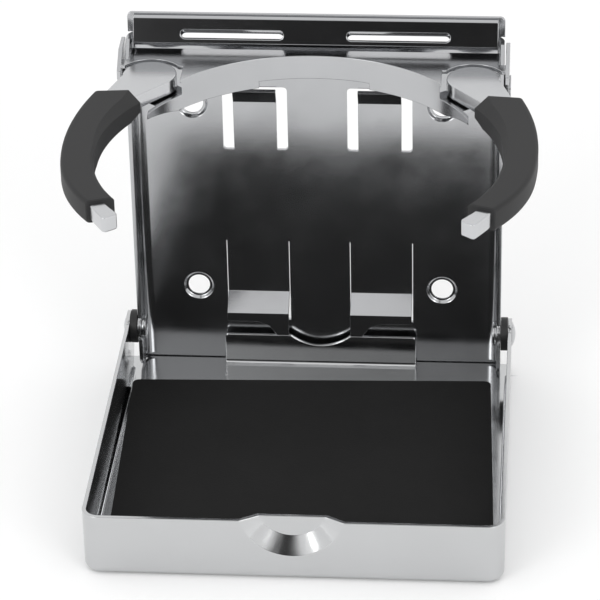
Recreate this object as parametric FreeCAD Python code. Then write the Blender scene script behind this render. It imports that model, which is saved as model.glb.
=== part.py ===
import FreeCAD, Part
import math
import os

os.makedirs("parts", exist_ok=True)

# Folding drink holder for a wall or bulkhead, shown open.
# Frame: origin at the centre of the four-screw pattern on the rear mounting face,
# +X to the holder's right seen from the front, +Y into the wall, +Z up. Millimetres.

V = FreeCAD.Vector

# ---- driving dimensions -------------------------------------------------------------
SHEET = 1.2                    # stainless sheet thickness of every stamping
SCREW_PITCH_X = 76.2           # mounting screw pattern
SCREW_PITCH_Z = 63.5
SCREW_HOLE_R = 3.35
SCREW_SINK_R = 4.8

PLATE_HALF = 56.6              # backplate half width, over its side flanges
PLATE_TOP = 61.9
PLATE_BOTTOM = -58.9
FLANGE_FRONT = -11.3           # front edge of the side flanges
FLANGE_TOP = 55.6
FLANGE_BOTTOM = -56.6

RAIL_HALF = 54.6               # folded stiffening strip along the top edge
RAIL_SHEET = 1.0
RAIL_BOTTOM = 50.2
RAIL_FOLD_Z = 60.6             # centre of the fold along its top
RAIL_LEAN = 18.0               # degrees the front leaf stands out from the wall
RAIL_LEAF = 7.27               # length of the front leaf down its outer face
SLOT_IN = 9.5                  # two long slots through rail and backplate
SLOT_OUT = 40.3
SLOT_REAR = (52.6, 55.9)       # z, z through the backplate and the rail's rear leaf
SLOT_FRONT = (55.3, 57.9)      # z, z through the rail's front leaf

YOKE_Y, YOKE_Z = -8.0, 42.5    # hinge axis of the arm bracket
TRAY_Y, TRAY_Z = -9.0, -42.4   # hinge axis of the tray
YOKE_RIVET_R = 2.0
TRAY_RIVET_R = 2.3
RUN_GAP = 0.05                 # radial clearance of every pivot

ARM_TOP = 51.8                 # top of the bracket plate and of the arms
PLATE_REAR = -4.4
CUP_Y = -59.2                  # centre of the cup ring
CUP_R = 51.0                   # radius of the bracket's curved front wall
ARM_X, ARM_Y = 47.8, -21.5     # arm pivot
KNUCKLE_R = 8.0
POCKET_R = 9.4                 # round cut-out of the plate around a knuckle
ARM_THICK = 4.7
ARM_PIN_R = 2.5

TRAY_HALF = 60.1               # over the tray's side walls
TRAY_FRONT = -121.0
TRAY_FLOOR = -57.7             # top of the tray floor
LIP_TOP = -39.4
TRAY_CORNER_R = 5.0
NOTCH_R = 15.4                 # finger dimple in the tray's front lip
NOTCH_FLAT_R = 10.2
NOTCH_Z = -35.5
NOTCH_DEPTH = 3.0

MAT_HALF = 55.9
MAT_DEPTH = 99.4
MAT_THICK = 1.5
MAT_TURN = 1.9                 # the stuck-down mat sits a little skew
MAT_X, MAT_Y = -0.4, -66.2     # centre of the mat
MAT_CORNER_R = 2.0

BEND_R = 3.0                   # inside radius of the backplate's side bends
UPPER_WINDOW = (9.1, 28.9, 16.5, 37.7)       # x, x, z, z of the right-hand window
WINDOW_CORNER_R = 1.2
TONGUE_SIDE_GAP = 3.3
LOWER_TAB = (9.6, 28.8)        # x, x of the right-hand tab
TAB_SLIT = 0.2
TAB_ROOT = -15.4
TAB_BEND = -33.3
TAB_FRONT = -7.4
TAB_OPENING_END = -43.5

EAR_IN = 57.0                  # the bracket's ears, outside the backplate's flanges
EAR_OUT = 58.2
SHELF_TOP = 46.5               # top of the seats under the arms
SEAT_R = 8.4
SEAT_OUT = 54.9                # seats are cut flat here, to fold between the flanges
SEAT_UNDER = SHELF_TOP - SHEET
ARM_WASHER_LOW = SHELF_TOP + 0.05
WALL_LOW = 42.1                # curved wall of the bracket
WALL_NOTCH_HALF = 16.5
WALL_NOTCH_Z = 44.3
WALL_FULL_HALF = 38.0          # outboard of this the wall is cut down, to pass under the arm
WALL_STUB_TOP = 46.7
WALL_END = 46.8

SLEEVE_LOW, SLEEVE_HIGH = 45.8, 52.8
SLEEVE_EDGE_R = 1.3
SLEEVE_RELIEF_R = 18.8         # no rubber under the arm this near the pivot, to pass the curved wall

REAR_WALL_HALF = 30.0          # wall turned up at the rear of the tray's floor
REAR_WALL_FRONT = -4.4
REAR_WALL_TOP = -47.5
REAR_NOTCH_HALF = 9.4          # notch in it, where the folded arms' tips lie
REAR_NOTCH_LOW = -51.0
REAR_NOTCH_R = 14.0
FLOOR_REAR = -1.7


# ---- small builders -----------------------------------------------------------------
def box(x0, x1, y0, y1, z0, z1):
    return Part.makeBox(x1 - x0, y1 - y0, z1 - z0, V(x0, y0, z0))


def rod_x(r, x0, x1, y, z):
    return Part.makeCylinder(r, x1 - x0, V(x0, y, z), V(1, 0, 0))


def rod_y(r, x, y0, y1, z):
    return Part.makeCylinder(r, y1 - y0, V(x, y0, z), V(0, 1, 0))


def rod_z(r, x, y, z0, z1):
    return Part.makeCylinder(r, z1 - z0, V(x, y, z0), V(0, 0, 1))


def prism(points, along):
    """A closed polygon of vectors, pushed along a vector."""
    wire = Part.makePolygon(points + [points[0]])
    return Part.Face(wire).extrude(along)


def yz_prism(pairs, x0, x1):
    return prism([V(x0, y, z) for y, z in pairs], V(x1 - x0, 0, 0))


def rounded_plate(x0, x1, y0, y1, z0, z1, r):
    """A flat slab with its four upright corners rounded."""
    slab = box(x0, x1, y0, y1, z0, z1)
    upright = [e for e in slab.Edges if abs(e.Vertexes[0].Z - e.Vertexes[1].Z) > 1e-6]
    return slab.makeFillet(r, upright)


def mirrored(shape):
    return shape.mirror(V(0, 0, 0), V(1, 0, 0))


def one_solid(shape):
    shape = shape.removeSplitter()
    return shape.Solids[0] if len(shape.Solids) == 1 else shape


def save(name, shape):
    shape = one_solid(shape)
    shape.exportStep("parts/" + name + ".step")
    box_now = shape.BoundBox
    print("%-24s solids %d valid %s vol %.1f  x %.1f..%.1f y %.1f..%.1f z %.1f..%.1f" % (
        name, len(shape.Solids), shape.isValid(), shape.Volume,
        box_now.XMin, box_now.XMax, box_now.YMin, box_now.YMax, box_now.ZMin, box_now.ZMax))


# ---- backplate ----------------------------------------------------------------------
def rear_rounded(half, front, rear, z0, z1, r):
    """A long block whose two upright rear edges are rounded."""
    block = box(-half, half, front, rear, z0, z1)
    edges = []
    for e in block.Edges:
        p, q = e.Vertexes[0].Point, e.Vertexes[-1].Point
        if abs(p.z - q.z) > 1 and abs(p.y - rear) < 1e-6:
            edges.append(e)
    return block.makeFillet(r, edges)


def channel():
    """The backplate's bent part: a flat web between two forward-turned side flanges."""
    outside = rear_rounded(PLATE_HALF, FLANGE_FRONT - 3, 0, FLANGE_BOTTOM, FLANGE_TOP, BEND_R + SHEET)
    inside = rear_rounded(PLATE_HALF - SHEET, FLANGE_FRONT - 4, -SHEET,
                          FLANGE_BOTTOM - 1, FLANGE_TOP + 1, BEND_R)
    outline = [(1.0, FLANGE_BOTTOM), (1.0, FLANGE_TOP), (-6.5, FLANGE_TOP),
               (FLANGE_FRONT, FLANGE_TOP - 6.0), (FLANGE_FRONT, FLANGE_BOTTOM + 3.0),
               (FLANGE_FRONT + 3.0, FLANGE_BOTTOM)]
    body = outside.cut(inside).common(yz_prism(outline, -70, 70))
    for side in (-1, 1):
        x0, x1 = sorted((side * (PLATE_HALF - SHEET), side * PLATE_HALF))
        # the tray hinge needs metal right round its rivet
        body = body.fuse(rod_x(4.6, x0, x1, TRAY_Y, TRAY_Z))
    # the corner strip behind the top rail stays clear of it
    relief = box(-RAIL_HALF - 0.2, RAIL_HALF + 0.2, -5, -SHEET, RAIL_BOTTOM - 0.3, PLATE_TOP)
    body = body.cut(relief)
    for r, y, z in ((YOKE_RIVET_R, YOKE_Y, YOKE_Z), (TRAY_RIVET_R, TRAY_Y, TRAY_Z)):
        body = body.cut(rod_x(r + RUN_GAP, -70, 70, y, z))
    return body


def upper_tongue():
    """Sprung tongue left standing in the upper window, its end curled forward."""
    x0 = UPPER_WINDOW[0] + TONGUE_SIDE_GAP
    x1 = UPPER_WINDOW[1] - TONGUE_SIDE_GAP
    root = UPPER_WINDOW[2]
    front = [(-SHEET, root - 0.5), (-SHEET, root), (-SHEET - 0.1, 32.8), (-SHEET - 2.0, 37.0)]
    back = [(-2.1, 37.5), (-0.1, 33.1), (0.0, root), (0.0, root - 0.5)]
    return yz_prism(front + back, x0, x1)


def lower_tab():
    """Tab lanced out of the backplate: it ramps forward and ends in a short upright lip."""
    x0, x1 = LOWER_TAB
    ramp_end = TAB_BEND - 4.6
    lip_end = ramp_end - 3.0
    profile = [(0.0, TAB_BEND + 0.6), (-SHEET, TAB_BEND + 0.6), (-SHEET, TAB_BEND),
               (TAB_FRONT, ramp_end), (TAB_FRONT, lip_end - 4.8),
               (TAB_FRONT + SHEET, lip_end - 4.8), (TAB_FRONT + SHEET, ramp_end - 0.6),
               (0.0, TAB_BEND - 0.9)]
    tab = yz_prism(profile, x0, x1)
    # the lip's outer half is shorter, with a swept corner
    sweep = prism([V(x1 + 1, TAB_FRONT - 1, lip_end), V(19.4, TAB_FRONT - 1, lip_end),
                   V(15.6, TAB_FRONT - 1, lip_end - 1.5), V(13.2, TAB_FRONT - 1, lip_end - 4.9),
                   V(x1 + 1, TAB_FRONT - 1, lip_end - 4.9)], V(0, SHEET + 2, 0))
    return tab.cut(sweep)


def long_slot(z_range, y0, y1):
    """Right-hand slot with rounded ends, cut from y0 to y1."""
    low, high = z_range
    r = (high - low) / 2
    mid = (high + low) / 2
    bar = box(SLOT_IN + r, SLOT_OUT - r, y0, y1, low, high)
    return bar.fuse(rod_y(r, SLOT_IN + r, y0, y1, mid)).fuse(rod_y(r, SLOT_OUT - r, y0, y1, mid))


def window_cut(x0, x1, z0, z1, r):
    """A cutter for a window through the backplate, its corners rounded."""
    cutter = box(x0, x1, -SHEET - 2, 2, z0, z1)
    edges = [e for e in cutter.Edges if abs(e.Vertexes[0].Y - e.Vertexes[1].Y) > 1e-6]
    return cutter.makeFillet(r, edges)


def screw_hole(x, z):
    hole = rod_y(SCREW_HOLE_R, x, -SHEET - 1, 1, z)
    sink_depth = 0.8
    sink = Part.makeCone(SCREW_SINK_R, SCREW_SINK_R - sink_depth, sink_depth,
                         V(x, -SHEET, z), V(0, 1, 0))
    return hole.fuse(sink)


def backplate():
    plate = channel()
    for z0, z1 in ((PLATE_BOTTOM, FLANGE_BOTTOM + 0.01), (FLANGE_TOP - 0.01, PLATE_TOP)):
        plate = plate.fuse(box(-PLATE_HALF, PLATE_HALF, -SHEET, 0, z0, z1))
    corner_r = 1.5
    for side in (-1, 1):
        for z, up in ((PLATE_BOTTOM, 1), (PLATE_TOP, -1)):
            x0, x1 = sorted((side * (PLATE_HALF - corner_r), side * (PLATE_HALF + 1)))
            z0, z1 = sorted((z - up, z + up * corner_r))
            disc = rod_y(corner_r, side * (PLATE_HALF - corner_r), -5, 5, z + up * corner_r)
            plate = plate.cut(box(x0, x1, -4, 4, z0, z1).cut(disc))
    cuts = [long_slot(SLOT_REAR, -3, 2)]
    x0, x1, z0, z1 = UPPER_WINDOW
    cuts.append(window_cut(x0, x1, z0, z1, WINDOW_CORNER_R))
    x0, x1 = LOWER_TAB
    cuts.append(box(x0 - TAB_SLIT, x0, -3, 2, TAB_OPENING_END, TAB_ROOT))
    cuts.append(box(x1, x1 + TAB_SLIT, -3, 2, TAB_OPENING_END, TAB_ROOT))
    cuts.append(box(x0 - TAB_SLIT, x1 + TAB_SLIT, -3, 2, TAB_OPENING_END, TAB_BEND))
    cuts.append(screw_hole(SCREW_PITCH_X / 2, SCREW_PITCH_Z / 2))
    cuts.append(screw_hole(SCREW_PITCH_X / 2, -SCREW_PITCH_Z / 2))
    plate = plate.cut(cuts + [mirrored(c) for c in cuts])
    extras = [upper_tongue(), lower_tab()]
    return plate.fuse(extras + [mirrored(e) for e in extras])


def top_rail():
    """Strip folded double and welded on, its front leaf standing out at a slant."""
    rear = -SHEET - 0.05
    fold_y = rear - RAIL_SHEET
    lean = math.radians(RAIL_LEAN)
    down = V(0, -math.sin(lean), -math.cos(lean))
    out = V(0, -math.cos(lean), math.sin(lean))
    top_in = V(-RAIL_HALF, fold_y, RAIL_FOLD_Z)
    top_out = top_in + out * RAIL_SHEET
    leaf = prism([top_in, top_out, top_out + down * RAIL_LEAF, top_in + down * RAIL_LEAF],
                 V(2 * RAIL_HALF, 0, 0))
    rear_leaf = box(-RAIL_HALF, RAIL_HALF, fold_y, rear, RAIL_BOTTOM, RAIL_FOLD_Z)
    fold = rod_x(RAIL_SHEET, -RAIL_HALF, RAIL_HALF, fold_y, RAIL_FOLD_Z)
    strip = rear_leaf.fuse([leaf, fold])
    front_slot = long_slot(SLOT_FRONT, -8, fold_y - 0.01)
    rear_slot = long_slot(SLOT_REAR, fold_y - 0.01, 2)
    return strip.cut([front_slot, rear_slot, mirrored(front_slot), mirrored(rear_slot)])


# ---- arm bracket --------------------------------------------------------------------
def bracket_ear():
    """Right-hand ear, outside the backplate's flange, with the hinge boss below the plate."""
    outline = [(-2.6, YOKE_Z), (-2.6, FLANGE_TOP - 2.0), (-4.0, FLANGE_TOP - 0.4),
               (-11.6, FLANGE_TOP - 0.8), (-17.6, ARM_TOP - 1.6), (-17.6, ARM_TOP - 4.0),
               (-12.6, YOKE_Z - 2.6), (YOKE_Y, YOKE_Z)]
    ear = yz_prism(outline, EAR_IN, EAR_OUT).fuse(rod_x(5.4, EAR_IN, EAR_OUT, YOKE_Y, YOKE_Z))
    return ear.cut(rod_x(YOKE_RIVET_R + RUN_GAP, EAR_IN - 1, EAR_OUT + 1, YOKE_Y, YOKE_Z))


def bracket_plate():
    """Flat top of the bracket: its front edge is the cup curve, its corners carry the ears."""
    z0 = ARM_TOP - SHEET
    inner = PLATE_HALF - SHEET - 0.4
    slab = box(-inner, inner, -30.0, PLATE_REAR, z0, ARM_TOP)
    web_back = FLANGE_FRONT - 1.0
    slab = slab.fuse(box(-EAR_IN - 0.1, EAR_IN + 0.1, -16.5, web_back, z0, ARM_TOP))
    slab = slab.cut(rod_z(CUP_R, 0, CUP_Y, z0 - 1, ARM_TOP + 1))
    for side in (-1, 1):
        xs = sorted((side * (WALL_FULL_HALF + 0.4), side * 70))
        slab = slab.cut(box(xs[0], xs[1], -40, -16.5, z0 - 1, ARM_TOP + 1))
        slab = slab.cut(rod_z(POCKET_R, side * ARM_X, ARM_Y, z0 - 1, ARM_TOP + 1))
    return slab


def cup_wall():
    """Curved wall hanging from the plate's front edge, concentric with the cup."""
    ring = rod_z(CUP_R + SHEET, 0, CUP_Y, WALL_LOW, ARM_TOP).cut(
        rod_z(CUP_R, 0, CUP_Y, WALL_LOW - 1, ARM_TOP + 1))
    ring = ring.common(box(-WALL_END, WALL_END, CUP_Y + 5, 0, WALL_LOW - 1, ARM_TOP + 1))
    ring = ring.cut(box(-WALL_NOTCH_HALF, WALL_NOTCH_HALF, -30, 0, WALL_LOW - 1, WALL_NOTCH_Z))
    for side in (-1, 1):
        xs = sorted((side * WALL_FULL_HALF, side * 70))
        ring = ring.cut(box(xs[0], xs[1], -60, 0, WALL_STUB_TOP, ARM_TOP + 1))
        # the lower edge rises to nothing at the very end
        end_low = WALL_STUB_TOP - 1.6
        taper = prism([V(side * 39.5, -60, WALL_LOW - 1), V(side * 39.5, -60, WALL_LOW),
                       V(side * WALL_END, -60, end_low), V(side * 60, -60, end_low),
                       V(side * 60, -60, WALL_LOW - 1)], V(0, 60, 0))
        ring = ring.cut(taper)
    return ring


def arm_seat(side):
    """Pad under a knuckle, turned out from the curved wall's lower part."""
    z0 = SHELF_TOP - SHEET
    pad = rod_z(SEAT_R, side * ARM_X, ARM_Y, z0, SHELF_TOP)
    away = V(side * ARM_X, ARM_Y - CUP_Y, 0)
    away.normalize()
    across = V(-away.y, away.x, 0)
    near = V(0, CUP_Y, z0) + away * (CUP_R + 0.2)
    far = V(side * ARM_X, ARM_Y, z0)
    half = 7.0
    web = prism([near - across * half, near + across * half, far + across * half,
                 far - across * half], V(0, 0, SHEET))
    seat = pad.fuse(web).cut(rod_z(CUP_R, 0, CUP_Y, z0 - 1, SHELF_TOP + 1))
    seat = seat.common(box(-SEAT_OUT, SEAT_OUT, -60, 0, z0 - 1, SHELF_TOP + 1))
    return seat.cut(rod_z(ARM_PIN_R + RUN_GAP, side * ARM_X, ARM_Y, z0 - 1, SHELF_TOP + 1))


def arm_bracket():
    body = bracket_plate().fuse([cup_wall(), bracket_ear(), mirrored(bracket_ear()),
                                 arm_seat(1), arm_seat(-1)])
    return body.removeSplitter()


# ---- arms ---------------------------------------------------------------------------
def outline_face(pieces):
    """A flat face from arcs (three points) and straight runs (two points)."""
    edges = []
    for points in pieces:
        if len(points) == 3:
            edges.append(Part.Arc(*points).toShape())
        else:
            edges.append(Part.LineSegment(*points).toShape())
    return Part.Face(Part.Wire(edges))


def bar_outline(z):
    """Right arm seen from above: a tapering curved bar grown out of the round knuckle."""
    inner_start = V(ARM_X - 6.6, ARM_Y - 4.4, z)
    inner_neck = V(50.4, -37.0, z)
    inner_mid = V(60.0, -70.0, z)
    inner_tip = V(46.4, -108.5, z)
    outer_tip = V(50.2, -111.5, z)
    outer_mid = V(64.6, -70.0, z)
    outer_neck = V(60.0, -36.4, z)
    outer_start = V(ARM_X + 7.9, ARM_Y - 1.0, z)
    return outline_face([
        (outer_start, inner_start),
        (inner_start, inner_neck),
        (inner_neck, inner_mid, inner_tip),
        (inner_tip, outer_tip),
        (outer_tip, outer_mid, outer_neck),
        (outer_neck, outer_start),
    ])


def bar():
    """The arm without its pin hole, the two upright edges of its tip rounded."""
    z0 = ARM_TOP - ARM_THICK
    body = bar_outline(z0).extrude(V(0, 0, ARM_THICK))
    tip_edges = []
    for e in body.Edges:
        p, q = e.Vertexes[0].Point, e.Vertexes[-1].Point
        if p.y < -108 and q.y < -108 and abs(p.z - q.z) > 1:
            tip_edges.append(e)
    body = body.makeFillet(1.1, tip_edges)
    return body.fuse(rod_z(KNUCKLE_R, ARM_X, ARM_Y, z0, ARM_TOP)).removeSplitter()


def arm():
    hole = rod_z(ARM_PIN_R, ARM_X, ARM_Y, ARM_TOP - ARM_THICK - 1, ARM_TOP - 1.0)
    return bar().cut(hole)


def sleeve_outline(z):
    """Right sleeve seen from above: hollow inside, full outside, cut square at both ends."""
    start_in = V(48.4, -38.6, z)
    waist = V(57.4, -70.0, z)
    end_in = V(48.2, -101.0, z)
    end_out = V(55.9, -103.8, z)
    shoulder = V(66.4, -79.0, z)
    start_out = V(62.4, -35.6, z)
    return outline_face([
        (start_in, V(55.2, -53.6, z), waist),
        (waist, V(55.5, -86.2, z), end_in),
        (end_in, end_out),
        (end_out, V(62.7, -92.4, z), shoulder),
        (shoulder, V(66.9, -58.0, z), start_out),
        (start_out, V(52.4, -34.6, z)),
        (V(52.4, -34.6, z), start_in),
    ])


def sleeve_chamfer():
    """Wedge taken off the sleeve's upper inner edge: wide at the knuckle, nothing at the waist."""
    low = V(48.0, -37.0, SLEEVE_HIGH - 2.2)
    high = V(52.4, -36.0, SLEEVE_HIGH)
    waist = V(57.4, -70.0, SLEEVE_HIGH)
    along = high - waist
    inboard = (low - high) * 3
    corners = [high + along * 0.3, waist, waist + inboard, high + along * 0.3 + inboard]
    return prism(corners, V(0, 0, 8))


def sleeve():
    """Moulded rubber sleeve, its edges rounded, with the arm's bar right through it."""
    body = sleeve_outline(SLEEVE_LOW).extrude(V(0, 0, SLEEVE_HIGH - SLEEVE_LOW))
    flat = []
    for e in body.Edges:
        p, q = e.Vertexes[0].Point, e.Vertexes[-1].Point
        level = abs(p.z - q.z) < 1e-6
        outboard = min(p.x, q.x) > 55.5 and max(p.y, q.y) > -104
        corner = not level and (abs(p.y + 103.8) < 0.1 or abs(p.y + 101.0) < 0.1)
        if corner or (level and outboard and e.Length > 8):
            flat.append(e)
    body = body.makeFillet(SLEEVE_EDGE_R, flat)
    relief = rod_z(SLEEVE_RELIEF_R, ARM_X, ARM_Y, SLEEVE_LOW - 1, ARM_TOP - ARM_THICK)
    return body.cut([sleeve_chamfer(), relief, bar()])


# ---- tray ---------------------------------------------------------------------------
def tray_shell():
    outer = box(-TRAY_HALF, TRAY_HALF, TRAY_FRONT, 30, TRAY_FLOOR - SHEET, LIP_TOP)
    inner = box(-TRAY_HALF + SHEET, TRAY_HALF - SHEET, TRAY_FRONT + SHEET, 31,
                TRAY_FLOOR, LIP_TOP + 5)

    def eased(shape, front, bottom, r_up, r_low):
        picked = []
        for e in shape.Edges:
            a, b = e.Vertexes[0].Point, e.Vertexes[-1].Point
            if abs(a.y - front) < 1e-6 and abs(b.y - front) < 1e-6 and abs(a.z - b.z) > 1:
                picked.append(e)
        shape = shape.makeFillet(r_up, picked)
        rim = []
        for e in shape.Edges:
            a, b = e.Vertexes[0].Point, e.Vertexes[-1].Point
            low = abs(a.z - bottom) < 1e-6 and abs(b.z - bottom) < 1e-6
            if low and not (a.y > 25 and b.y > 25):
                rim.append(e)
        return shape.makeFillet(r_low, rim)

    outer = eased(outer, TRAY_FRONT, TRAY_FLOOR - SHEET, TRAY_CORNER_R, 2.2)
    inner = eased(inner, TRAY_FRONT + SHEET, TRAY_FLOOR, TRAY_CORNER_R - SHEET, 1.0)
    return outer.cut(inner)


def lip_dimple():
    """Finger dimple pressed into the front lip: a cone ring and a flat middle."""
    y = TRAY_FRONT
    profile = [(0, y + NOTCH_DEPTH), (NOTCH_FLAT_R, y + NOTCH_DEPTH), (NOTCH_R, y),
               (NOTCH_R + 0.2, y), (NOTCH_R + 0.2, y + SHEET),
               (NOTCH_FLAT_R + 0.5, y + NOTCH_DEPTH + SHEET), (0, y + NOTCH_DEPTH + SHEET)]
    face = Part.Face(Part.makePolygon([V(r, d, NOTCH_Z) for r, d in profile + profile[:1]]))
    dish = face.revolve(V(0, 0, NOTCH_Z), V(0, 1, 0), 360)
    return dish.common(box(-30, 30, y - 1, y + 20, NOTCH_Z - 30, LIP_TOP))


def rear_wall():
    """Wall turned up from the floor on a small bend, with a notch for the folded arms' tips."""
    half = REAR_WALL_HALF
    front, back = REAR_WALL_FRONT, REAR_WALL_FRONT + SHEET
    wall = box(-half, half, front, back, TRAY_FLOOR - 0.6, REAR_WALL_TOP)
    upper = [e for e in wall.Edges if abs(e.CenterOfMass.z - REAR_WALL_TOP) < 1e-6
             and abs(abs(e.CenterOfMass.x) - half) < 1e-6]
    wall = wall.makeFillet(1.0, upper)
    notch = rod_y(REAR_NOTCH_R, 0, front - 1, back + 1, REAR_NOTCH_LOW + REAR_NOTCH_R)
    notch = notch.common(box(-REAR_NOTCH_HALF, REAR_NOTCH_HALF, -9, 0, -60, -30))
    bend = box(-half, half, front - 1.2, front, TRAY_FLOOR - 0.1, TRAY_FLOOR + 1.2)
    bend = bend.cut(rod_x(1.2, -half - 1, half + 1, front - 1.2, TRAY_FLOOR + 1.2))
    return wall.cut(notch).fuse(bend)


def tray():
    shell = tray_shell()
    # hinge ears: the side walls end in round ears about the tray's hinge axis
    side_cut = box(-70, 70, TRAY_Y, 40, TRAY_FLOOR, LIP_TOP + 10)
    shell = shell.cut(side_cut).cut(box(-70, 70, FLOOR_REAR, 40, -80, 0))
    shell = shell.cut(rod_y(NOTCH_R, 0, TRAY_FRONT - 1, TRAY_FRONT + SHEET + 0.5, NOTCH_Z))
    # the floor stops at the rear wall's outer face
    half = REAR_WALL_HALF
    shell = shell.cut(box(-half, half, REAR_WALL_FRONT + SHEET, 0, TRAY_FLOOR - 3, TRAY_FLOOR + 1))
    extras = [lip_dimple()]
    for side in (-1, 1):
        xs = sorted((side * TRAY_HALF, side * (TRAY_HALF - SHEET)))
        ear = rod_x(5.0, xs[0], xs[1], TRAY_Y, TRAY_Z)
        heel_low = TRAY_FLOOR - SHEET + 2.4
        heel = yz_prism([(TRAY_Y + 5.0, TRAY_Z), (TRAY_Y, TRAY_Z), (TRAY_Y - 1, heel_low),
                         (TRAY_Y + 1.0, heel_low), (TRAY_Y + 5.0, TRAY_Z - 6.0)], xs[0], xs[1])
        extras += [ear, heel]
    extras.append(rear_wall())
    body = shell.fuse(extras)
    return body.cut(rod_x(TRAY_RIVET_R + RUN_GAP, -70, 70, TRAY_Y, TRAY_Z))


def tray_mat():
    half = MAT_DEPTH / 2
    mat = rounded_plate(-MAT_HALF, MAT_HALF, -half, half, TRAY_FLOOR, TRAY_FLOOR + MAT_THICK,
                        MAT_CORNER_R)
    mat.rotate(V(0, 0, 0), V(0, 0, 1), MAT_TURN)
    mat.translate(V(MAT_X, MAT_Y, 0))
    return mat


# ---- rivets, pins and washers -------------------------------------------------------
def yoke_rivet():
    """Right-hand hinge rivet of the arm bracket, its outer head low to clear the tray."""
    shank = rod_x(YOKE_RIVET_R, PLATE_HALF - SHEET - 0.2, EAR_OUT + 0.2, YOKE_Y, YOKE_Z)
    outer = rod_x(3.6, EAR_OUT + 0.03, EAR_OUT + 0.45, YOKE_Y, YOKE_Z)
    inner = rod_x(3.4, PLATE_HALF - SHEET - 1.3, PLATE_HALF - SHEET - 0.05, YOKE_Y, YOKE_Z)
    return shank.fuse([outer, inner])


def yoke_washer():
    ring = rod_x(5.0, PLATE_HALF + 0.05, EAR_IN - 0.05, YOKE_Y, YOKE_Z)
    return ring.cut(rod_x(YOKE_RIVET_R + 0.1, 50, 60, YOKE_Y, YOKE_Z))


def domed_head(r, height, x, y, z):
    """A low domed rivet head whose flat side is at x and whose crown is further out."""
    ball_r = (r * r + height * height) / (2 * height)
    ball = Part.makeSphere(ball_r, V(x + height - ball_r, y, z))
    return ball.common(rod_x(r + 1, x, x + height + 1, y, z))


def tray_rivet():
    inner_face = PLATE_HALF - SHEET
    shank = rod_x(TRAY_RIVET_R, inner_face - 0.3, TRAY_HALF + 0.3, TRAY_Y, TRAY_Z)
    outer = domed_head(3.9, 1.1, TRAY_HALF + 0.05, TRAY_Y, TRAY_Z)
    inner = rod_x(3.8, inner_face - 1.3, inner_face - 0.05, TRAY_Y, TRAY_Z)
    return shank.fuse([outer, inner])


def tray_washer():
    ring = rod_x(5.2, PLATE_HALF + 0.1, TRAY_HALF - SHEET - 0.1, TRAY_Y, TRAY_Z)
    return ring.cut(rod_x(TRAY_RIVET_R + 0.1, 50, 62, TRAY_Y, TRAY_Z))


def arm_washer():
    ring = rod_z(6.5, ARM_X, ARM_Y, ARM_WASHER_LOW, ARM_TOP - ARM_THICK - 0.05)
    return ring.cut(rod_z(ARM_PIN_R + 0.1, ARM_X, ARM_Y, 40, 50))


def spring_washer():
    ring = rod_z(5.0, ARM_X, ARM_Y, SEAT_UNDER - 0.85, SEAT_UNDER - 0.05)
    return ring.cut(rod_z(ARM_PIN_R + 0.1, ARM_X, ARM_Y, 40, 50))


def arm_pin():
    """Pivot pin pressed up into the knuckle, its flat head under the seat."""
    shank = rod_z(ARM_PIN_R, ARM_X, ARM_Y, SEAT_UNDER - 1.5, ARM_TOP - 1.2)
    head = rod_z(4.4, ARM_X, ARM_Y, SEAT_UNDER - 2.1, SEAT_UNDER - 0.9)
    return shank.fuse(head)


# ---- write every node ---------------------------------------------------------------
save("backplate", backplate())
save("top_rail", top_rail())
save("arm_bracket", arm_bracket())
save("tray", tray())
save("tray_mat", tray_mat())
PAIRS = {
    "arm": arm,
    "arm_sleeve": sleeve,
    "arm_pin": arm_pin,
    "arm_washer": arm_washer,
    "arm_spring_washer": spring_washer,
    "bracket_rivet": yoke_rivet,
    "bracket_washer": yoke_washer,
    "tray_rivet": tray_rivet,
    "tray_washer": tray_washer,
}
for name, make in PAIRS.items():
    right = make()
    save(name + "_right", right)
    save(name + "_left", mirrored(right))
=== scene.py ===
from math import cos, pi, radians, sin, tan

import bmesh
import bpy
from mathutils import Matrix, Quaternion, Vector


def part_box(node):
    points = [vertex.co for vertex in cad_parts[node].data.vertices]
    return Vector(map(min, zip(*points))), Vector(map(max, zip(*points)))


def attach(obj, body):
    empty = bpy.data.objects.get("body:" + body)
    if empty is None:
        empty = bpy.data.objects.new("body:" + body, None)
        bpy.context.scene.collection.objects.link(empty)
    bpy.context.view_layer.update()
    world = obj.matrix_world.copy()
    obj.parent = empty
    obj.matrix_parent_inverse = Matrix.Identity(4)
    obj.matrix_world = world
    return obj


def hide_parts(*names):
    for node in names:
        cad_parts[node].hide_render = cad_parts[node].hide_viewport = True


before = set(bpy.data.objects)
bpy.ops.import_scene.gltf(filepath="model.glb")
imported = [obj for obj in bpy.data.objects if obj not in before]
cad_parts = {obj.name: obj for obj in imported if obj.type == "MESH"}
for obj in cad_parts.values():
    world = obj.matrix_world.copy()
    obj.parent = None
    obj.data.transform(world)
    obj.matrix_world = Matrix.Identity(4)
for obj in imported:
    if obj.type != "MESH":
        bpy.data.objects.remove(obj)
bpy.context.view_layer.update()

scene = bpy.context.scene

# ---- camera ---------------------------------------------------------------------------
# A long lens about a metre away, a little to the holder's right and thirty degrees above
# it, held very slightly out of level.
AIM = Vector((0.0, -0.040, -0.015))
AZIMUTH, ELEVATION, TILT = radians(4.69), radians(30.06), radians(1.134)
REACH = 0.960


def bearing(azimuth, elevation):
    """Unit vector from the holder out into the room in front of it."""
    return Vector((sin(azimuth) * cos(elevation), -cos(azimuth) * cos(elevation), sin(elevation)))


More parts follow.
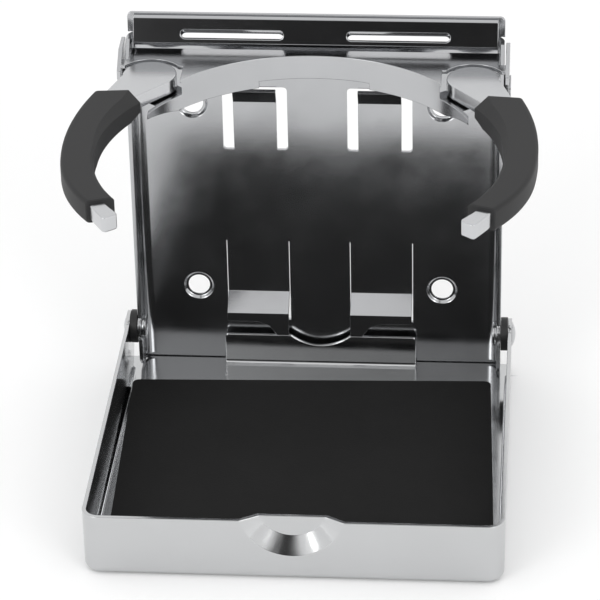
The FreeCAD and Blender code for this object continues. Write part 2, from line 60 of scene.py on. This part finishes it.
towards_camera = bearing(AZIMUTH, ELEVATION)
lens = bpy.data.cameras.new("studio_camera")
lens.sensor_width = 36.0
lens.lens = 192.2
lens.shift_x = -0.0174
lens.shift_y = 0.0059
lens.clip_start, lens.clip_end = 0.05, 20.0
camera = bpy.data.objects.new("studio_camera", lens)
camera.location = AIM + REACH * towards_camera
camera.rotation_mode = "QUATERNION"
camera.rotation_quaternion = towards_camera.to_track_quat("Z", "Y") @ Quaternion((0, 0, 1), -TILT)
scene.collection.objects.link(camera)
scene.camera = camera
scene.view_settings.view_transform = "Standard"


# ---- stage ----------------------------------------------------------------------------
# A white paper floor under an even white studio. The one dark part of the room is behind
# the camera, and the polished sheet shows it wherever it leans back or makes a corner.
def linear(hex_colour):
    """An sRGB hex colour as linear RGBA."""
    parts = [int(hex_colour[i:i + 2], 16) / 255 for i in (0, 2, 4)]
    return [p / 12.92 if p <= 0.04045 else ((p + 0.055) / 1.055) ** 2.4 for p in parts] + [1.0]


def add(tree, kind, links=None, **settings):
    """Adds a node. A setting goes to the node or, if it has none of that name, to its input."""
    made = tree.nodes.new(kind)
    for key, value in settings.items():
        if hasattr(made, key):
            setattr(made, key, value)
        else:
            made.inputs[key.replace("_", " ")].default_value = value
    for key, source in (links or {}).items():
        tree.links.new(source, made.inputs[key])
    return made


FLOOR_HALF = 3.0
FLOOR_DROP = 0.0004
floor_bm = bmesh.new()
bmesh.ops.create_grid(floor_bm, x_segments=1, y_segments=1, size=FLOOR_HALF)
floor_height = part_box("tray")[0].z - FLOOR_DROP
bmesh.ops.translate(floor_bm, verts=floor_bm.verts, vec=(0, 0, floor_height))
floor_mesh = bpy.data.meshes.new("paper_floor")
floor_bm.to_mesh(floor_mesh)
floor_bm.free()
floor = bpy.data.objects.new("paper_floor", floor_mesh)
scene.collection.objects.link(floor)
paper = bpy.data.materials.new("white_background_paper")
paper.use_nodes = True
paper_shader = paper.node_tree.nodes["Principled BSDF"]
paper_shader.inputs["Base Color"].default_value = linear("FCFCFC")
paper_shader.inputs["Roughness"].default_value = 0.9
paper_shader.inputs["Specular IOR Level"].default_value = 0.0
floor_mesh.materials.append(paper)

room = bpy.data.worlds.new("white_studio")
scene.world = room
room.use_nodes = True
tree = room.node_tree
tree.nodes.clear()
direction = add(tree, "ShaderNodeTexCoord")
# the dark part is 1.7 times as tall as it is wide
squeezed = add(tree, "ShaderNodeVectorMath", {0: direction.outputs["Generated"]},
               operation="MULTIPLY")
squeezed.inputs[1].default_value = (1.7, 1.0, 1.0)
unit = add(tree, "ShaderNodeVectorMath", {0: squeezed.outputs["Vector"]}, operation="NORMALIZE")
facing = add(tree, "ShaderNodeVectorMath", {0: unit.outputs["Vector"]}, operation="DOT_PRODUCT")
ROOM_LOW = radians(9)
facing.inputs[1].default_value = bearing(AZIMUTH, ROOM_LOW)
DARK_EDGE, DARK_CORE = cos(radians(35)), cos(radians(13))
dark = add(tree, "ShaderNodeMapRange", {0: facing.outputs["Value"]},
           interpolation_type="SMOOTHSTEP")
dark.inputs["From Min"].default_value = DARK_EDGE
dark.inputs["From Max"].default_value = DARK_CORE
shade = add(tree, "ShaderNodeMix", {0: dark.outputs["Result"]}, data_type="RGBA")
shade.inputs["A"].default_value = (1, 1, 1, 1)
shade.inputs["B"].default_value = (0.03, 0.03, 0.03, 1)
sky = add(tree, "ShaderNodeBackground", {"Color": shade.outputs["Result"]}, Strength=1.0)
add(tree, "ShaderNodeOutputWorld", {"Surface": sky.outputs["Background"]})

PANEL_SIZE = 0.50
PANEL_X, PANEL_Y, PANEL_Z = 0.72, -0.95, 0.50
for side, watts in ((-1, 3.0), (1, 2.4)):
    panel = bpy.data.lights.new("soft_panel", "AREA")
    panel.shape = "SQUARE"
    panel.size = PANEL_SIZE
    panel.energy = watts
    panel_object = bpy.data.objects.new("soft_panel", panel)
    panel_object.location = (side * PANEL_X, PANEL_Y, PANEL_Z)
    panel_object.rotation_mode = "QUATERNION"
    panel_object.rotation_quaternion = (panel_object.location - AIM).to_track_quat("Z", "Y")
    scene.collection.objects.link(panel_object)


# ---- backplate ------------------------------------------------------------------------
# Stamped from 1.2 mm stainless sheet, its sides bent forward as hinge flanges, tongues and
# tabs lanced out of it, then mirror-polished: it shows the dark mat in its lower half.
def polished_steel(name, colour, rough_low, rough_high, wave, grain_turn=0.0):
    """Polished stainless, from mirror to satin by its roughness: soft hand-polishing smudges
    in its gloss, a faint sheet wave and very fine buffing lines."""
    material = bpy.data.materials.new(name)
    material.use_nodes = True
    tree = material.node_tree
    shader = tree.nodes["Principled BSDF"]
    shader.inputs["Metallic"].default_value = 1.0
    where = add(tree, "ShaderNodeTexCoord")
    # smudges 20 mm across
    smudge = add(tree, "ShaderNodeTexNoise", {"Vector": where.outputs["Object"]},
                 Scale=55.0, Detail=5.0, Roughness=0.6)
    gloss = add(tree, "ShaderNodeMapRange", {0: smudge.outputs["Fac"]})
    gloss.inputs["From Min"].default_value = 0.35
    gloss.inputs["From Max"].default_value = 0.70
    gloss.inputs["To Min"].default_value = rough_low
    gloss.inputs["To Max"].default_value = rough_high
    tree.links.new(gloss.outputs["Result"], shader.inputs["Roughness"])
    tone = add(tree, "ShaderNodeMix", {0: smudge.outputs["Fac"]}, data_type="RGBA")
    tone.inputs["A"].default_value = linear(colour)
    tone.inputs["B"].default_value = [c * 0.93 for c in linear(colour)[:3]] + [1.0]
    tree.links.new(tone.outputs["Result"], shader.inputs["Base Color"])
    # the sheet is never quite flat: waves about 35 mm long
    sheet_wave = add(tree, "ShaderNodeTexNoise", {"Vector": where.outputs["Object"]},
                     Scale=28.0, Detail=1.0, Roughness=0.3)
    flatness = add(tree, "ShaderNodeBump", {"Height": sheet_wave.outputs["Fac"]},
                   Strength=wave, Distance=0.0010)
    # buffing lines 0.25 mm apart, drawn long and faint
    turned = add(tree, "ShaderNodeMapping", {"Vector": where.outputs["Object"]})
    turned.inputs["Rotation"].default_value = (0, grain_turn, 0)
    turned.inputs["Scale"].default_value = (120.0, 120.0, 4000.0)
    lines = add(tree, "ShaderNodeTexNoise", {"Vector": turned.outputs["Vector"]},
                Scale=1.0, Detail=2.0, Roughness=0.5)
    buffing = add(tree, "ShaderNodeBump", {"Height": lines.outputs["Fac"],
                                           "Normal": flatness.outputs["Normal"]},
                  Strength=0.03, Distance=0.00005)
    tree.links.new(buffing.outputs["Normal"], shader.inputs["Normal"])
    return material


def eased_copy(node, edge_radius, material, body, material_slot, edge_angle=24.0):
    """A piece in the CAD node's place: its mesh merged, flat faces joined, and every sharp edge
    broken by a small radius, as deburring leaves it."""
    bm = bmesh.new()
    bm.from_mesh(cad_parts[node].data)
    bmesh.ops.remove_doubles(bm, verts=bm.verts, dist=2e-6)
    bmesh.ops.dissolve_limit(bm, angle_limit=radians(0.4), verts=bm.verts, edges=bm.edges)
    sharp = [e for e in bm.edges
             if len(e.link_faces) == 2 and e.calc_face_angle() > radians(edge_angle)]
    bmesh.ops.bevel(bm, geom=sharp, offset=edge_radius, offset_type="OFFSET", affect="EDGES",
                    segments=2, profile=0.5, material=-1, clamp_overlap=False)
    bmesh.ops.remove_doubles(bm, verts=bm.verts, dist=2e-6)
    return finished(bm, node + "_finished", material, body, material_slot, node)


def finished(bm, name, material, body, material_slot, *nodes):
    """Turns a bmesh into a smooth piece that rides on a body and stands for CAD nodes."""
    mesh = bpy.data.meshes.new(name)
    bm.to_mesh(mesh)
    bm.free()
    mesh.materials.append(material)
    mesh.shade_smooth()
    mesh.set_sharp_from_angle(angle=radians(48))
    piece = bpy.data.objects.new(name, mesh)
    scene.collection.objects.link(piece)
    even = piece.modifiers.new("even_normals", "WEIGHTED_NORMAL")
    even.mode = "FACE_AREA"
    even.weight = 50
    even.keep_sharp = True
    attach(piece, body)
    if nodes:
        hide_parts(*nodes)
    return piece


STEEL = "BABBBD"
PLATE_EDGE = 0.00013
backplate_steel = polished_steel("mirror_polished_backplate", STEEL, 0.14, 0.21, 0.05)
eased_copy("backplate", PLATE_EDGE, backplate_steel, "backplate", "backplate_steel")


# ---- top rail -------------------------------------------------------------------------
# A strip of stainless sheet folded double and welded on along the top edge. Its front leaf
# leans back from the light, so the polish shows the dark part of the room.
rail_steel = polished_steel("mirror_polished_rail", STEEL, 0.06, 0.12, 0.08)
RAIL_EDGE = 0.00022
eased_copy("top_rail", RAIL_EDGE, rail_steel, "backplate", "rail_steel")


# ---- arm bracket ----------------------------------------------------------------------
# One stamping: a flat top, a curved wall turned down round the cup, a seat under each arm
# and an ear at each end for the hinge rivets. Satin-polished.
bracket_steel = polished_steel("satin_polished_bracket", STEEL, 0.15, 0.22, 0.03)
BRACKET_EDGE = 0.00015
eased_copy("arm_bracket", BRACKET_EDGE, bracket_steel, "arm_bracket", "bracket_steel")


# ---- arms -----------------------------------------------------------------------------
# Curved stainless bars with a round knuckle, cast, ground and satin-polished, their edges
# broken a little more than the sheet's.
arm_steel = polished_steel("satin_polished_arm", "C8C9CB", 0.15, 0.23, 0.02)
ARM_EDGE = 0.00045
for side in ("left", "right"):
    eased_copy("arm_" + side, ARM_EDGE, arm_steel, side + "_arm", "arm_steel")


# ---- sleeves --------------------------------------------------------------------------
# Dark grey rubber, compression-moulded and pushed over the arms: a dull, fine-grained skin.
# Each is drawn solid, with the arm's bar running on inside it. Sizes here are millimetres.
sleeve_rubber = bpy.data.materials.new("moulded_sleeve_rubber")
sleeve_rubber.use_nodes = True
tree = sleeve_rubber.node_tree
shader = tree.nodes["Principled BSDF"]
where = add(tree, "ShaderNodeTexCoord")
bloom = add(tree, "ShaderNodeTexNoise", {"Vector": where.outputs["Object"]},
            Scale=90.0, Detail=4.0, Roughness=0.6)
skin = add(tree, "ShaderNodeMix", {0: bloom.outputs["Fac"]}, data_type="RGBA")
skin.inputs["A"].default_value = linear("161617")
skin.inputs["B"].default_value = linear("1C1C1D")
tree.links.new(skin.outputs["Result"], shader.inputs["Base Color"])
shader.inputs["Roughness"].default_value = 0.62
shader.inputs["IOR"].default_value = 1.50
# mould grain 0.4 mm across
grain = add(tree, "ShaderNodeTexNoise", {"Vector": where.outputs["Object"]},
            Scale=2500.0, Detail=2.0, Roughness=0.5)
pits = add(tree, "ShaderNodeBump", {"Height": grain.outputs["Fac"]},
           Strength=0.25, Distance=0.00008)
tree.links.new(pits.outputs["Normal"], shader.inputs["Normal"])


def arc(start, via, end, steps):
    """Points along the circle through three points seen from above, without the last one."""
    (ax, ay), (bx, by), (cx, cy) = start, via, end
    d = 2 * (ax * (by - cy) + bx * (cy - ay) + cx * (ay - by))
    a2, b2, c2 = ax * ax + ay * ay, bx * bx + by * by, cx * cx + cy * cy
    centre = Vector(((a2 * (by - cy) + b2 * (cy - ay) + c2 * (ay - by)) / d,
                     (a2 * (cx - bx) + b2 * (ax - cx) + c2 * (bx - ax)) / d))
    spoke = Vector(start) - centre
    turn = spoke.angle_signed(Vector(end) - centre)
    return [centre + Matrix.Rotation(-turn * i / steps, 2) @ spoke for i in range(steps)]


def even_stations(points, count):
    """The same path walked in equal steps."""
    walked = [0.0]
    for a, b in zip(points, points[1:]):
        walked.append(walked[-1] + (b - a).length)
    stations, k = [], 0
    for i in range(count):
        want = walked[-1] * i / (count - 1)
        while k < len(points) - 2 and walked[k + 1] < want:
            k += 1
        part_way = (want - walked[k]) / (walked[k + 1] - walked[k])
        stations.append(points[k].lerp(points[k + 1], part_way))
    return stations


sleeve_low, sleeve_high = (c.z * 1000 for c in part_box("arm_sleeve_right"))
STATIONS = 41
ARC_STEPS = 24
START_IN, WAIST, END_IN = (48.4, -38.6), (57.4, -70.0), (48.2, -101.0)
START_OUT, SHOULDER, END_OUT = (62.4, -35.6), (66.4, -79.0), (55.9, -103.8)
hollow_side = (arc(START_IN, (55.2, -53.6), WAIST, ARC_STEPS)
               + arc(WAIST, (55.5, -86.2), END_IN, ARC_STEPS) + [Vector(END_IN)])
full_side = (arc(START_OUT, (66.9, -58.0), SHOULDER, ARC_STEPS)
             + arc(SHOULDER, (62.7, -92.4), END_OUT, ARC_STEPS) + [Vector(END_OUT)])
inner_path = even_stations(hollow_side, STATIONS)
outer_path = even_stations(full_side, STATIONS)
CHAMFER_WIDE, CHAMFER_DEEP = 4.0, 2.2
CHAMFER_LEFT = 0.9             # what remains of the chamfer from the waist on
NOSE = 3.1                     # how far the first stations stand out at the ridge
RELIEF_RISE = 1.6              # underside raised at the knuckle, to pass the curved wall
NOSE_STATIONS, RELIEF_STATIONS = 2.0, 3.0
OUTER_ROUND, INNER_ROUND = 1.3, 0.5
LONGEST_REACH = 0.45           # share of a side that a rounded corner may take


def rounded_corner(before, corner, after, radius, steps=4):
    """Points of a smooth curve that rounds one corner of the section."""
    a, b = (before - corner).normalized(), (after - corner).normalized()
    half = a.angle(b) / 2
    reach = min(radius / tan(half), (before - corner).length * LONGEST_REACH,
                (after - corner).length * LONGEST_REACH)
    start, end = corner + a * reach, corner + b * reach
    points = []
    for k in range(steps + 1):
        t = k / steps
        points.append(start * (1 - t) ** 2 + corner * 2 * t * (1 - t) + end * t * t)
    return points


def sleeve_section(i, mirror):
    """The sleeve cut across at a station. The chamfer on its inner edge dies out at the waist."""
    a, b = inner_path[i], outer_path[i]
    half_way = (STATIONS - 1) / 2
    chamfer = max(0.0, 1.0 - i / half_way)
    across = (b - a).normalized()
    wide = CHAMFER_LEFT + (CHAMFER_WIDE - CHAMFER_LEFT) * chamfer
    ridge = a + across * wide + Vector((0.0, NOSE * max(0.0, 1.0 - i / NOSE_STATIONS)))
    under = sleeve_low + RELIEF_RISE * max(0.0, 1.0 - i / RELIEF_STATIONS)
    drop = sleeve_high - CHAMFER_LEFT - (CHAMFER_DEEP - CHAMFER_LEFT) * chamfer
    flat = [(a, under, INNER_ROUND), (b, under, OUTER_ROUND), (b, sleeve_high, OUTER_ROUND),
            (ridge, sleeve_high, INNER_ROUND), (a, drop, INNER_ROUND)]
    corners = [Vector((mirror * p.x, p.y, z)) for p, z, r in flat]
    section = []
    for k in range(5):
        section += rounded_corner(corners[k - 1], corners[k], corners[(k + 1) % 5], flat[k][2])
    return [p / 1000 for p in section]


RIM_EDGE = 0.0004
for side, mirror in (("left", -1), ("right", 1)):
    bm = bmesh.new()
    rings = []
    for i in range(STATIONS):
        verts = [bm.verts.new(co) for co in sleeve_section(i, mirror)]
        rings.append([bm.edges.new((verts[k - 1], verts[k])) for k in range(len(verts))])
    for near, far in zip(rings, rings[1:]):
        bmesh.ops.bridge_loops(bm, edges=near + far)
    for ends in (rings[0], rings[-1]):
        bmesh.ops.contextual_create(bm, geom=ends)
    bmesh.ops.recalc_face_normals(bm, faces=bm.faces)
    rims = rings[0] + rings[-1]
    bmesh.ops.bevel(bm, geom=rims, offset=RIM_EDGE, offset_type="OFFSET", affect="EDGES",
                    segments=3, profile=0.5, material=-1, clamp_overlap=True)
    name = "arm_sleeve_" + side
    finished(bm, name + "_moulding", sleeve_rubber, side + "_arm", "sleeve_rubber", name)


# ---- tray -----------------------------------------------------------------------------
# Pressed from the same sheet with a raised lip and a finger dimple, polished inside and out
# to a soft shine.
tray_steel = polished_steel("satin_polished_tray", "C8C9CA", 0.10, 0.17, 0.05)
TRAY_EDGE = 0.00016
eased_copy("tray", TRAY_EDGE, tray_steel, "tray", "tray_steel")


# ---- mat ------------------------------------------------------------------------------
# Black closed-cell foam rubber 1.5 mm thick, die-cut and stuck down a little skew.
mat_rubber = bpy.data.materials.new("foam_rubber_mat")
mat_rubber.use_nodes = True
tree = mat_rubber.node_tree
shader = tree.nodes["Principled BSDF"]
where = add(tree, "ShaderNodeTexCoord")
dust = add(tree, "ShaderNodeTexNoise", {"Vector": where.outputs["Object"]},
           Scale=45.0, Detail=5.0, Roughness=0.65)
black = add(tree, "ShaderNodeMix", {0: dust.outputs["Fac"]}, data_type="RGBA")
black.inputs["A"].default_value = linear("151515")
black.inputs["B"].default_value = linear("1E1E1E")
tree.links.new(black.outputs["Result"], shader.inputs["Base Color"])
shader.inputs["Roughness"].default_value = 0.85
shader.inputs["Specular IOR Level"].default_value = 0.25
# cells of the foam, drawn 0.7 mm across so that they show
cells = add(tree, "ShaderNodeTexVoronoi", {"Vector": where.outputs["Object"]}, Scale=1400.0)
cell_bump = add(tree, "ShaderNodeBump", {"Height": cells.outputs["Distance"]},
                Strength=0.35, Distance=0.0001)
tree.links.new(cell_bump.outputs["Normal"], shader.inputs["Normal"])
MAT_EDGE = 0.00025
eased_copy("tray_mat", MAT_EDGE, mat_rubber, "tray", "mat_rubber")


# ---- rivets, pins and washers ---------------------------------------------------------
# Turned stainless hinge rivets, pivot pins pressed up into the knuckles, and black nylon
# washers that keep the moving sheets apart.
rivet_steel = polished_steel("turned_rivet_steel", "C0C1C3", 0.12, 0.20, 0.02)
pin_steel = polished_steel("turned_pin_steel", "B8B9BB", 0.18, 0.28, 0.02)
nylon = bpy.data.materials.new("black_nylon")
nylon.use_nodes = True
tree = nylon.node_tree
shader = tree.nodes["Principled BSDF"]
where = add(tree, "ShaderNodeTexCoord")
# faint mottling about a millimetre across
matt = add(tree, "ShaderNodeTexNoise", {"Vector": where.outputs["Object"]},
           Scale=900.0, Detail=2.0)
soft = add(tree, "ShaderNodeMapRange", {0: matt.outputs["Fac"]})
soft.inputs["To Min"].default_value = 0.42
soft.inputs["To Max"].default_value = 0.60
tree.links.new(soft.outputs["Result"], shader.inputs["Roughness"])
tint = add(tree, "ShaderNodeMix", {0: matt.outputs["Fac"]}, data_type="RGBA")
tint.inputs["A"].default_value = linear("181819")
tint.inputs["B"].default_value = linear("202021")
tree.links.new(tint.outputs["Result"], shader.inputs["Base Color"])
TURNED_EDGE, WASHER_EDGE = 0.00012, 0.00008
THIN_WASHER_EDGE, THICK_WASHER_EDGE = 0.00006, 0.00012
for side in ("left", "right"):
    eased_copy("bracket_rivet_" + side, TURNED_EDGE, rivet_steel, "bracket_rivets", "rivet_steel")
    eased_copy("tray_rivet_" + side, TURNED_EDGE, rivet_steel, "tray_rivets", "rivet_steel")
    eased_copy("arm_pin_" + side, TURNED_EDGE, pin_steel, side + "_arm", "pin_steel")
    eased_copy("arm_washer_" + side, WASHER_EDGE, nylon, side + "_arm", "nylon_washer")
    eased_copy("bracket_washer_" + side, THIN_WASHER_EDGE, nylon, "arm_bracket",
               "nylon_washer")
    eased_copy("tray_washer_" + side, THICK_WASHER_EDGE, nylon, "tray", "nylon_washer")


# ---- spring washers -------------------------------------------------------------------
# Flat rings of spring steel, split and sprung a little out of flat, one under each seat
# between it and the pin's head.
spring_steel = polished_steel("plain_spring_steel", "A8A9AB", 0.28, 0.40, 0.02)
SPLIT = radians(9)
WASHER_STEPS = 36
BORE_SHARE = 0.53              # bore over outside diameter
THICK_SHARE = 0.72             # steel over the height of the sprung ring
for side in ("left", "right"):
    name = "arm_spring_washer_" + side
    low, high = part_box(name)
    middle = (low + high) / 2
    outer_r = (high.x - low.x) / 2
    inner_r = outer_r * BORE_SHARE
    thick = (high.z - low.z) * THICK_SHARE
    top = low.z + thick
    bm = bmesh.new()
    section = [(inner_r, low.z), (outer_r, low.z), (outer_r, top), (inner_r, top)]
    verts = [bm.verts.new((r, 0, z)) for r, z in section]
    wire = bm.faces.new(verts)
    bmesh.ops.spin(bm, geom=[wire], cent=(0, 0, 0), axis=(0, 0, 1), angle=2 * pi - SPLIT,
                   steps=WASHER_STEPS, dvec=(0, 0, (high.z - low.z - thick) / WASHER_STEPS))
    bmesh.ops.recalc_face_normals(bm, faces=bm.faces)
    corners = [e for e in bm.edges if e.is_manifold and e.calc_face_angle() > radians(40)]
    bmesh.ops.bevel(bm, geom=corners, offset=WASHER_EDGE, offset_type="OFFSET", affect="EDGES",
                    segments=2, profile=0.5, material=-1, clamp_overlap=True)
    bmesh.ops.translate(bm, verts=bm.verts, vec=(middle.x, middle.y, 0))
    finished(bm, name + "_coil", spring_steel, side + "_arm", "spring_steel", name)
